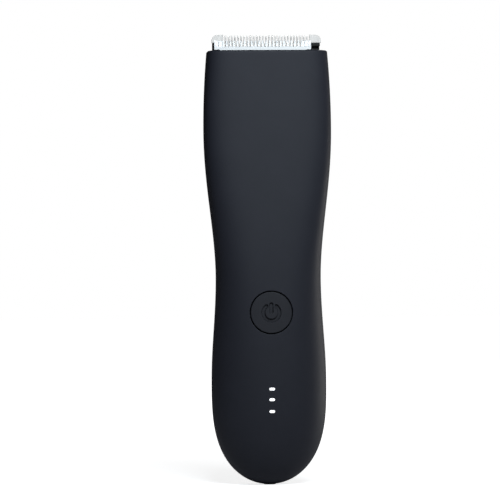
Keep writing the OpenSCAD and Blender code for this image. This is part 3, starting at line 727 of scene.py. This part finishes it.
def cutter_outline(off):
    low, high = cutter_low, cutter_high
    half = (high.x - low.x) / 2
    centres = gap_centres(CUTTER_GAPS, CUTTER_PITCH)
    tip = high.z
    r = CUTTER_CORNER_R
    inner = -centres[0] + CUTTER_GAP / 2 + off
    right = [(inner, CUTTER_ROOT + CUTTER_GAP / 2), (inner, tip - 1), (inner + 0.12, tip - off)]
    right += arc((half - r, tip - r), r - off, 90, 0, 6)
    right += [(half - off, CUTTER_BAR_Z + off), (CUTTER_LOW_X - off, CUTTER_BAR_Z + off)]
    right += [(CUTTER_LOW_X - off, low.z + off)]
    left = [(-x, z) for x, z in reversed(right)]
    return left + notches(centres, CUTTER_GAP, CUTTER_ROOT, off) + right


def blind_backing(middle, side, front):
    """Rear wall of the two gaps nearest an end of the cutter, which don't go through."""
    outermost = -gap_centres(CUTTER_GAPS, CUTTER_PITCH)[0]
    ends = sorted((middle + side * (outermost + 0.5), middle + side * (outermost - 1.5 * CUTTER_PITCH)))
    root, top = CUTTER_ROOT - 0.3, cutter_high.z - 0.15
    rear = cutter_high.y - 0.02
    rows = [(front(z) + BLIND_DEPTH, z) for z in (root, CUTTER_THIN, top)] + [(rear, top), (rear, root)]
    return loft("backing", [[(x, y, z) for y, z in rows] for x in ends], smooth=False)


def make_cutter():
    low, high = cutter_low, cutter_high
    middle = (low.x + high.x) / 2
    cutter = chamfered_plate("cutter", cutter_outline, low.y, high.y, BLADE_EDGE, middle)

    def front(z):
        return low.y + 0.01 + max(0.0, z - CUTTER_THIN) * math.tan(math.radians(CUTTER_SLOPE))

    centres = [x + middle for x in gap_centres(CUTTER_GAPS, CUTTER_PITCH)]
    teeth = make_teeth("cutter_teeth", centres, CUTTER_PITCH, CUTTER_GAP,
                       CUTTER_ROOT - 0.4, high.z, high.z, front, lambda z: high.y - 0.01)
    boolean(cutter, teeth, "UNION")
    boolean(cutter, wedge("cutter_tool", low.y, CUTTER_THIN, CUTTER_SLOPE, -1))
    for side in (-1, 1):
        boolean(cutter, blind_backing(middle, side, front), "UNION")
    for x in (middle - STUD_X, middle + STUD_X):
        boolean(cutter, pin("hole_tool", STUD_HOLE_R, 0, 5, (x, -3, STUD_Z), "Y", 32))
    smooth_by_angle(cutter, 15)
    return cutter


# ---- The blade head's housing ----

def side_box(name, side, xs, ys, zs):
    """Box on one side of the middle plane, from pairs of limits."""
    x0, x1 = sorted((side * xs[0], side * xs[1]))
    return box_object(name, (x0, ys[0], zs[0]), (x1, ys[1], zs[1]))


def make_housing():
    low, high = housing_low, housing_high
    outline = rounded_outline(HEAD_X, low.y, high.y, HEAD_CORNER, 10)
    body = prism("head_frame", outline, low.z, HEAD_TOP)
    for side in (-1, 1):
        block = side_box("block", side, (BLOCK_X, HEAD_X), BLOCK_Y, (BLOCK_LOW, BLOCK_Z - 0.01))
        boolean(body, block, "UNION")
        cap = side_box("cap", side, (BLOCK_X, high.x), BLOCK_Y, (CAP_LOW, BLOCK_Z))
        boolean(body, cap, "UNION")
    # Lower space, upper space in front of the comb, and the comb's seat
    cuts = (
        (HOLLOW_X, HOLLOW_Y, (low.z - 1, HOLLOW_TOP)),
        (HOLLOW_X, (HOLLOW_Y[0], SEAT_Y[0]), (HOLLOW_TOP - 1, HEAD_TOP + 1)),
        (BLOCK_X, (SEAT_Y[0] - 0.01, SEAT_Y[1]), (HOLLOW_TOP - 1, HEAD_TOP + 4)),
    )
    for x, ys, zs in cuts:
        boolean(body, box_object("space_tool", (-x, ys[0], zs[0]), (x, ys[1], zs[1])))
    for side in (-1, 1):
        boolean(body, side_box("notch_tool", side, NOTCH_X, NOTCH_Y, (HEAD_TOP, NOTCH_TOP)))
        profile = [(AXIS, 0), (SCREW_R, 0), (SCREW_R, SCREW_HEAD_Y), (SCREW_HEAD_R, SCREW_HEAD_Y)]
        profile += [(SCREW_HEAD_R, 6), (AXIS, 6)]
        boolean(body, lathe("screw_tool", profile, (side * SCREW_X, SEAT_Y[0], SCREW_Z), "Y", 48))
    bevel(body, 0.18, 3, 40)
    smooth_by_angle(body, 40)
    return body


# ---- The charging socket ----

def make_socket():
    high = socket_high.z
    edge = 0.15
    profile = [(INLET_R + edge, 0.0), (TUBE_R - edge, 0.0), (TUBE_R, edge), (TUBE_R, INLET_BODY_Z)]
    profile += [(INLET_BODY_R - edge, INLET_BODY_Z), (INLET_BODY_R, INLET_BODY_Z + edge)]
    profile += [(INLET_BODY_R, high - edge), (INLET_BODY_R - edge, high), (INLET_CONTACT_R, high)]
    profile += [(INLET_CONTACT_R, INLET_DEPTH), (INLET_R, INLET_DEPTH), (INLET_R, edge)]
    socket = lathe("inlet", profile)
    smooth_by_angle(socket, 30)
    return socket


def end_height(x, y):
    """Height of the casing's lower end above the tip, at a point near the axis."""
    low, high = 0.0, BELLY_Z
    for _ in range(40):
        z = (low + high) / 2
        n = section_power(z)
        inside = z > 1e-6 and (abs(x) / half_width(z)) ** n + (abs(y) / half_depth(z, -1)) ** n < 1
        low, high = (low, z) if inside else (z, high)
    return high


def make_port_ring():
    """Rubber ring whose face follows the casing's rounded end."""
    steps = 96
    verts = []
    # Radius of each edge and its rise above the casing's end, or None on the flat upper side
    edges = [(TUBE_R, 0.1), (TUBE_R + 0.1, 0.02), (PORT_R - 0.12, 0.02), (PORT_R, 0.12)]
    edges += [(PORT_R, None), (TUBE_R, None)]
    for r, rise in edges:
        for i in range(steps):
            a = 2 * math.pi * i / steps
            x, y = r * math.cos(a), r * math.sin(a)
            verts.append((x, y, RING_TOP if rise is None else end_height(x, y) + rise))
    n = len(edges)
    faces = []
    for k in range(n):
        for i in range(steps):
            j = (i + 1) % steps
            here, there = k * steps, (k + 1) % n * steps
            faces.append((here + i, here + j, there + j, there + i))
    ring = mesh_object("port_grommet", verts, faces)
    smooth_by_angle(ring, 40)
    return ring


# ---- Materials ----

def new_material(name):
    material = bpy.data.materials.new(name)
    material.use_nodes = True
    tree = material.node_tree
    shader = tree.nodes["Principled BSDF"]
    coords = tree.nodes.new("ShaderNodeTexCoord")
    return material, tree, shader, coords.outputs["Object"]


def noise(tree, vector, size_mm, detail=3.0, stretch=None):
    """Noise whose grains are about size_mm across."""
    if stretch:
        mapping = tree.nodes.new("ShaderNodeMapping")
        mapping.inputs["Scale"].default_value = stretch
        tree.links.new(vector, mapping.inputs["Vector"])
        vector = mapping.outputs["Vector"]
    node = tree.nodes.new("ShaderNodeTexNoise")
    node.inputs["Scale"].default_value = 1 / (size_mm * MM)
    node.inputs["Detail"].default_value = detail
    tree.links.new(vector, node.inputs["Vector"])
    return node.outputs["Fac"]


def between(tree, factor, low, high):
    """Spreads a noise's middle values between two numbers."""
    node = tree.nodes.new("ShaderNodeMapRange")
    node.inputs["From Min"].default_value = 0.3
    node.inputs["From Max"].default_value = 0.7
    node.inputs["To Min"].default_value = low
    node.inputs["To Max"].default_value = high
    tree.links.new(factor, node.inputs["Value"])
    return node.outputs["Result"]


def blend_colours(tree, factor, dark, light):
    node = tree.nodes.new("ShaderNodeMix")
    node.data_type = "RGBA"
    node.inputs["A"].default_value = (*dark, 1)
    node.inputs["B"].default_value = (*light, 1)
    tree.links.new(between(tree, factor, 0, 1), node.inputs["Factor"])
    return node.outputs["Result"]


def bump(tree, shader, height, depth_mm, strength=1.0):
    node = tree.nodes.new("ShaderNodeBump")
    node.inputs["Distance"].default_value = depth_mm * MM
    node.inputs["Strength"].default_value = strength
    tree.links.new(height, node.inputs["Height"])
    tree.links.new(node.outputs["Normal"], shader.inputs["Normal"])


def surface(name, dark, light, patch_mm, rough, grain_mm, grain_depth, metallic=0.0, stretch=None, **extra):
    """A material with cloudy colour, uneven gloss and a fine grain."""
    material, tree, shader, place = new_material(name)
    patches = noise(tree, place, patch_mm, 4.0, stretch)
    grain = noise(tree, place, grain_mm, 2.0, stretch)
    tree.links.new(blend_colours(tree, patches, dark, light), shader.inputs["Base Color"])
    tree.links.new(between(tree, grain, *rough), shader.inputs["Roughness"])
    shader.inputs["Metallic"].default_value = metallic
    for socket, value in extra.items():
        shader.inputs[socket.replace("_", " ")].default_value = value
    bump(tree, shader, grain, grain_depth)
    return material


def make_materials():
    made = {
        "soft_touch_black": surface("soft_touch", (0.0125, 0.0135, 0.0195), (0.0140, 0.0150, 0.0215), 9.0,
                                    (0.56, 0.66), 0.16, 0.006, Specular_IOR_Level=0.27),
        "button_black": surface("button_rubber", (0.0135, 0.0140, 0.0180), (0.0150, 0.0155, 0.0200), 5.0,
                                (0.56, 0.66), 0.16, 0.006, Specular_IOR_Level=0.27),
        "seal_black": surface("seal_rubber", (0.010, 0.010, 0.011), (0.018, 0.018, 0.020), 2.0,
                              (0.55, 0.75), 0.1, 0.006),
        "black_plastic": surface("black_moulding", (0.005, 0.005, 0.005), (0.010, 0.010, 0.009), 1.2,
                                 (0.45, 0.6), 0.08, 0.006, Specular_IOR_Level=0.25),
        "grey_plastic": surface("grey_moulding", (0.09, 0.095, 0.10), (0.13, 0.135, 0.14), 2.5,
                                (0.42, 0.6), 0.1, 0.008),
        "white_plastic": surface("white_moulding", (0.74, 0.73, 0.69), (0.84, 0.83, 0.80), 2.5,
                                 (0.35, 0.5), 0.1, 0.006),
        "ceramic_white": surface("ceramic", (0.86, 0.86, 0.85), (0.93, 0.93, 0.92), 1.6,
                                 (0.16, 0.30), 0.06, 0.002, Specular_IOR_Level=0.6),
        "blade_steel": surface("ground_steel", (0.52, 0.49, 0.46), (0.60, 0.565, 0.53), 1.0,
                               (0.24, 0.42), 0.05, 0.002, metallic=0.35, stretch=(1, 1, 0.15)),
        "screw_steel": surface("machined_steel", (0.50, 0.51, 0.53), (0.68, 0.69, 0.71), 0.8,
                               (0.25, 0.42), 0.06, 0.003, metallic=1.0),
        "motor_steel": surface("plated_can", (0.48, 0.49, 0.50), (0.64, 0.65, 0.66), 3.0,
                               (0.28, 0.45), 0.08, 0.004, metallic=1.0, stretch=(1, 1, 0.1)),
        "bronze": surface("sintered_bronze", (0.34, 0.20, 0.08), (0.52, 0.34, 0.16), 0.5,
                          (0.35, 0.6), 0.05, 0.006, metallic=1.0),
        "contact_brass": surface("contact_brass", (0.62, 0.45, 0.18), (0.80, 0.62, 0.30), 0.8,
                                 (0.2, 0.4), 0.05, 0.003, metallic=1.0),
        "board_green": surface("solder_mask", (0.012, 0.10, 0.045), (0.02, 0.16, 0.07), 1.5,
                               (0.2, 0.35), 0.12, 0.006),
        "cell_wrap": surface("shrink_wrap", (0.07, 0.15, 0.34), (0.10, 0.20, 0.44), 4.0,
                             (0.2, 0.35), 0.5, 0.01),
        "led_body": surface("phosphor", (0.80, 0.72, 0.36), (0.90, 0.85, 0.55), 0.4,
                            (0.35, 0.5), 0.05, 0.003),
        "wire_jacket": surface("wire_jacket", (0.25, 0.01, 0.01), (0.34, 0.02, 0.02), 1.0,
                               (0.35, 0.5), 0.08, 0.003),
    }
    made["light_white"] = surface("window_white", (0.86, 0.87, 0.88), (0.95, 0.96, 0.97), 0.6,
                                  (0.25, 0.4), 0.06, 0.003,
                                  Emission_Color=(1, 1, 1, 1), Emission_Strength=0.75)
    return made


def finish_piece(piece, body, node, slot, materials):
    """Gives a piece its material, hangs it on its body's empty and hides the CAD part that it stands for.
    """
    piece.data.materials.clear()
    piece.data.materials.append(materials[slot])
    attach(piece, body)
    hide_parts(node)


# ---- The stage ----

def make_floor():
    """Pale floor that fades to pure white away from the object, for the camera alone."""
    side = 3000.0
    floor = mesh_object("floor", [(-side, -side, 0), (side, -side, 0), (side, side, 0), (-side, side, 0)],
                        [(0, 1, 2, 3)], smooth=False)
    material, tree, shader, place = new_material("pale_floor")
    tint = blend_colours(tree, noise(tree, place, 60.0), (0.86, 0.86, 0.86), (0.90, 0.90, 0.90))
    tree.links.new(tint, shader.inputs["Base Color"])
    shader.inputs["Roughness"].default_value = 0.9
    reach = tree.nodes.new("ShaderNodeVectorMath")
    reach.operation = "LENGTH"
    tree.links.new(place, reach.inputs[0])
    fade = tree.nodes.new("ShaderNodeMapRange")
    fade.inputs["From Min"].default_value = 0.08
    fade.inputs["From Max"].default_value = 0.45
    fade.inputs["To Min"].default_value = 0.72
    fade.inputs["To Max"].default_value = 1.0
    tree.links.new(reach.outputs["Value"], fade.inputs["Value"])
    glow = tree.nodes.new("ShaderNodeEmission")
    tree.links.new(fade.outputs["Result"], glow.inputs["Strength"])
    dim = tree.nodes.new("ShaderNodeBsdfDiffuse")
    dim.inputs["Color"].default_value = (0.70, 0.68, 0.70, 1)
    path = tree.nodes.new("ShaderNodeLightPath")
    both = tree.nodes.new("ShaderNodeAddShader")
    mix = tree.nodes.new("ShaderNodeMixShader")
    tree.links.new(shader.outputs["BSDF"], both.inputs[0])
    tree.links.new(glow.outputs["Emission"], both.inputs[1])
    tree.links.new(path.outputs["Is Camera Ray"], mix.inputs["Fac"])
    tree.links.new(dim.outputs["BSDF"], mix.inputs[1])
    tree.links.new(both.outputs["Shader"], mix.inputs[2])
    tree.links.new(mix.outputs["Shader"], tree.nodes["Material Output"].inputs["Surface"])
    floor.data.materials.append(material)


def make_world():
    world = bpy.data.worlds.new("studio")
    bpy.context.scene.world = world
    world.use_nodes = True
    tree = world.node_tree
    tree.nodes.clear()
    output = tree.nodes.new("ShaderNodeOutputWorld")
    seen = tree.nodes.new("ShaderNodeBackground")
    seen.inputs["Color"].default_value = (1, 1, 1, 1)
    seen.inputs["Strength"].default_value = 1.0
    felt = tree.nodes.new("ShaderNodeBackground")
    felt.inputs["Color"].default_value = (0.92, 0.95, 1, 1)
    felt.inputs["Strength"].default_value = 0.025
    path = tree.nodes.new("ShaderNodeLightPath")
    mix = tree.nodes.new("ShaderNodeMixShader")
    tree.links.new(path.outputs["Is Camera Ray"], mix.inputs["Fac"])
    tree.links.new(felt.outputs["Background"], mix.inputs[1])
    tree.links.new(seen.outputs["Background"], mix.inputs[2])
    tree.links.new(mix.outputs["Shader"], output.inputs["Surface"])


def area_light(name, at, aim, size, power, colour=(1, 1, 1)):
    data = bpy.data.lights.new(name, "AREA")
    data.shape = "RECTANGLE"
    data.size, data.size_y = size
    data.energy = power
    data.color = colour
    light = bpy.data.objects.new(name, data)
    bpy.context.scene.collection.objects.link(light)
    light.visible_camera = False
    light.location = at
    light.rotation_mode = "QUATERNION"
    light.rotation_quaternion = (Vector(aim) - Vector(at)).to_track_quat("-Z", "Y")


def make_lights():
    area_light("key", (0.03, -0.25, 0.27), (0, 0, 0.11), (0.15, 0.12), 0.90, (0.88, 0.97, 1.04))
    area_light("right_wall", (0.40, 0.15, 0.01), (0, 0, 0.03), (0.20, 0.14), 0.85, (1.0, 0.98, 0.95))
    area_light("rear", (0.35, 0.9, 0.7), (0, 0, 0.09), (0.6, 0.4), 3.0)


def make_camera():
    """Camera at the photograph's angle: level, a little to the left of the front, and far off."""
    azimuth = math.radians(-4.45)
    roll = math.radians(0.42)
    distance = 1.25
    frame_height = 0.1786
    aside = -0.00641
    aim_z = 0.08364
    camera = bpy.data.cameras.new("camera")
    camera.sensor_width = 36
    camera.lens = 36 * distance / frame_height
    camera.clip_end = 20
    obj = bpy.data.objects.new("camera", camera)
    bpy.context.scene.collection.objects.link(obj)
    back = Vector((math.sin(azimuth), -math.cos(azimuth), 0))
    right = Vector((math.cos(azimuth), math.sin(azimuth), 0))
    obj.location = back * distance + right * aside + Vector((0, 0, aim_z))
    obj.rotation_mode = "QUATERNION"
    obj.rotation_quaternion = (-back).to_track_quat("-Z", "Y") @ Quaternion((0, 0, 1), -roll)
    bpy.context.scene.camera = obj


# ---- Everything together ----

make_camera()
make_world()
make_lights()
make_floor()

materials = make_materials()
front_cover, rear_cover = make_shells()
finish_piece(front_cover, "casing", "front_shell", "soft_touch_black", materials)
finish_piece(rear_cover, "casing", "rear_shell", "soft_touch_black", materials)
finish_piece(make_button(), "button", "power_button", "button_black", materials)
finish_piece(make_light_guide(), "casing", "light_guide", "light_white", materials)
finish_piece(make_comb(), "head", "comb_blade", "blade_steel", materials)
finish_piece(make_cutter(), "cutter", "cutter_blade", "ceramic_white", materials)
finish_piece(make_housing(), "head", "head_housing", "black_plastic", materials)
finish_piece(make_socket(), "casing", "charging_socket", "black_plastic", materials)
finish_piece(make_port_ring(), "casing", "port_ring", "seal_black", materials)

for row in frame["record"]["subparts"]:
    carried = frame["nodes"][row["node"]]
    carried.data.materials.clear()
    carried.data.materials.append(materials[row["material_slot"]])

bpy.context.scene.view_settings.view_transform = "Standard"
